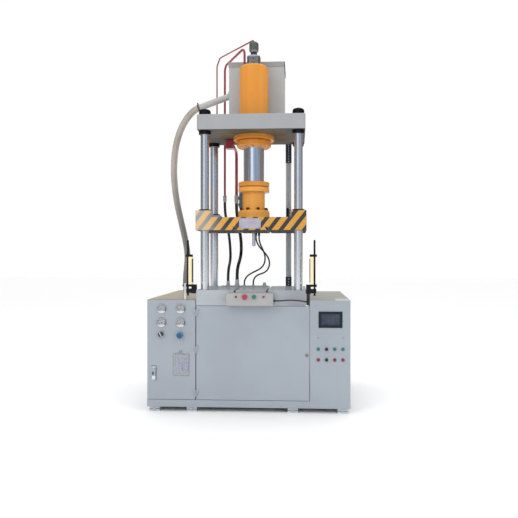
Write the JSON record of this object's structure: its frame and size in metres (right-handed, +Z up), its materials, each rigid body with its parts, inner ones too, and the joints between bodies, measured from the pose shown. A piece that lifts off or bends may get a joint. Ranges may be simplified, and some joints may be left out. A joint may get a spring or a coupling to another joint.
{
  "type": "hydraulic press",
  "caption": "Column-guided down-stroking hydraulic press with a striped slider, overhead oil tank, T-slot bed, side cabinets, gauges, control box and touch screen",
  "frame": {"origin": "the floor point under the middle of the footprint", "axes": "+X to the operator's right, +Y from the operator's side to the rear, +Z up"},
  "size_m": [1.8729, 1.548, 3.5565],
  "materials": {
    "grey_paint": "satin light grey enamel",
    "beige_paint": "satin beige-grey enamel",
    "yellow_paint": "gloss orange-yellow enamel",
    "stripe_paint": "yellow enamel with black diagonal stripes on the front",
    "red_paint": "gloss maroon enamel",
    "ground_steel": "ground bare steel",
    "black_steel": "black oxide",
    "hard_chrome": "polished hard chrome",
    "silver_fitting": "zinc plate",
    "clear_hose": "translucent reinforced hose with a spiral",
    "black_rubber": "smooth rubber cover",
    "black_plastic": "matt black",
    "cream_plastic": "yellow housing",
    "motor_paint": "satin blue enamel",
    "red_button": "gloss red",
    "dark_red_button": "gloss dark red",
    "green_button": "gloss green",
    "blue_plastic": "gloss blue",
    "clear_film": "clear film over pale paper"
  },
  "bodies": {
    "frame": {"base_frame": "grey_paint", "levelling_feet": "black_steel", "bed_stand": "grey_paint", "left_cabinet": "grey_paint", "right_cabinet": "grey_paint", "bed": "grey_paint", "columns": "hard_chrome", "column_nuts": "black_steel", "crosshead": "grey_paint", "main_cylinder": "yellow_paint", "gland_cover": "yellow_paint", "prefill_valve": "ground_steel", "oil_tank": "grey_paint", "tank_lid": "grey_paint", "pilot_pipe": "red_paint", "pressure_pipe": "red_paint", "lower_port_pipe": "red_paint", "hose_fittings": "silver_fitting", "pressure_hose": "black_rubber", "lower_port_hose": "black_rubber", "core_hose_left": "black_rubber", "core_hose_right": "black_rubber", "return_hose": "clear_hose", "bed_manifold": "silver_fitting", "scale_bar": "silver_fitting", "control_box": "grey_paint", "control_cable": "black_rubber", "light_curtains": "cream_plastic", "curtain_posts": "black_steel", "touch_screen": "black_plastic", "pump_motor": "motor_paint", "valve_manifold": "ground_steel"},
    "slider": {"slider": "stripe_paint", "guide_bushes": "black_steel", "ram": "hard_chrome", "ram_flange": "yellow_paint", "core_cylinder": "yellow_paint", "flange_bolts": "black_steel", "scale_reader": "black_plastic"},
    "core_rod": {"core_rod": "hard_chrome"},
    "main_door": {"main_door": "grey_paint"},
    "main_door_lock": {"main_door_lock": "hard_chrome"},
    "left_door": {"left_door": "grey_paint", "gauges": "ground_steel", "document_pouch": "clear_film"},
    "pressure_knob": {"pressure_knob": "black_plastic"},
    "blue_knob": {"blue_knob": "blue_plastic"},
    "door_handle": {"door_handle": "black_plastic"},
    "run_button_left": {"run_button_left": "dark_red_button"},
    "run_button_right": {"run_button_right": "dark_red_button"},
    "stop_mushroom": {"stop_mushroom": "red_button"},
    "start_button": {"start_button": "green_button"},
    "upper_button_first": {"upper_button_first": "green_button"},
    "upper_selector": {"upper_selector": "black_plastic"},
    "upper_button_third": {"upper_button_third": "green_button"},
    "upper_button_fourth": {"upper_button_fourth": "green_button"},
    "lower_button_first": {"lower_button_first": "red_button"},
    "lower_selector": {"lower_selector": "black_plastic"},
    "lower_button_third": {"lower_button_third": "red_button"},
    "lower_button_fourth": {"lower_button_fourth": "red_button"}
  },
  "joints": [
    {"name": "slider_travel", "type": "slide", "parent": "frame", "child": "slider", "axis": [0, 0, 1], "range_m": [-0.2, 0.3], "deforming": ["core_hose_left", "core_hose_right"]},
    {"name": "core_rod_travel", "type": "slide", "parent": "slider", "child": "core_rod", "axis": [0, 0, 1], "range_m": [-0.06, 0.09]},
    {"name": "main_door_hinge", "type": "hinge", "parent": "frame", "child": "main_door", "pos_m": [-0.472, -0.652, 0.573], "axis": [0, 0, -1], "range_deg": [0, 80]},
    {"name": "main_door_lock_turn", "type": "hinge", "parent": "main_door", "child": "main_door_lock", "pos_m": [0.538, -0.646, 0.5275], "axis": [0, -1, 0], "range_deg": [0, 90]},
    {"name": "left_door_hinge", "type": "hinge", "parent": "frame", "child": "left_door", "pos_m": [-0.486, -0.652, 0.573], "axis": [0, 0, 1], "range_deg": [0, 80]},
    {"name": "door_handle_pull", "type": "hinge", "parent": "left_door", "child": "door_handle", "pos_m": [-0.8685, -0.6554, 0.3], "axis": [1, 0, 0], "range_deg": [0, 60]},
    {"name": "pressure_knob_turn", "type": "hinge", "parent": "left_door", "child": "pressure_knob", "pos_m": [-0.801, -0.646, 0.712], "axis": [0, -1, 0], "range_deg": [-150, 150]},
    {"name": "blue_knob_turn", "type": "hinge", "parent": "left_door", "child": "blue_knob", "pos_m": [-0.6255, -0.646, 0.703], "axis": [0, -1, 0], "range_deg": [-150, 150]},
    {"name": "run_button_left_press", "type": "slide", "parent": "frame", "child": "run_button_left", "axis": [0, 1, 0], "range_m": [0, 0.004], "stiffness_N_per_m": 500},
    {"name": "stop_mushroom_press", "type": "slide", "parent": "frame", "child": "stop_mushroom", "axis": [0, 1, 0], "range_m": [0, 0.004], "stiffness_N_per_m": 500},
    {"name": "start_button_press", "type": "slide", "parent": "frame", "child": "start_button", "axis": [0, 1, 0], "range_m": [0, 0.004], "stiffness_N_per_m": 500},
    {"name": "run_button_right_press", "type": "slide", "parent": "frame", "child": "run_button_right", "axis": [0, 1, 0], "range_m": [0, 0.004], "stiffness_N_per_m": 500},
    {"name": "upper_button_first_press", "type": "slide", "parent": "frame", "child": "upper_button_first", "axis": [0, 1, 0], "range_m": [0, 0.004], "stiffness_N_per_m": 500},
    {"name": "upper_selector_turn", "type": "hinge", "parent": "frame", "child": "upper_selector", "pos_m": [0.7168, -0.646, 0.585], "axis": [0, -1, 0], "range_deg": [-45, 45]},
    {"name": "upper_button_third_press", "type": "slide", "parent": "frame", "child": "upper_button_third", "axis": [0, 1, 0], "range_m": [0, 0.004], "stiffness_N_per_m": 500},
    {"name": "upper_button_fourth_press", "type": "slide", "parent": "frame", "child": "upper_button_fourth", "axis": [0, 1, 0], "range_m": [0, 0.004], "stiffness_N_per_m": 500},
    {"name": "lower_button_first_press", "type": "slide", "parent": "frame", "child": "lower_button_first", "axis": [0, 1, 0], "range_m": [0, 0.004], "stiffness_N_per_m": 500},
    {"name": "lower_selector_turn", "type": "hinge", "parent": "frame", "child": "lower_selector", "pos_m": [0.7168, -0.646, 0.488], "axis": [0, -1, 0], "range_deg": [-45, 45]},
    {"name": "lower_button_third_press", "type": "slide", "parent": "frame", "child": "lower_button_third", "axis": [0, 1, 0], "range_m": [0, 0.004], "stiffness_N_per_m": 500},
    {"name": "lower_button_fourth_press", "type": "slide", "parent": "frame", "child": "lower_button_fourth", "axis": [0, 1, 0], "range_m": [0, 0.004], "stiffness_N_per_m": 500}
  ]
}
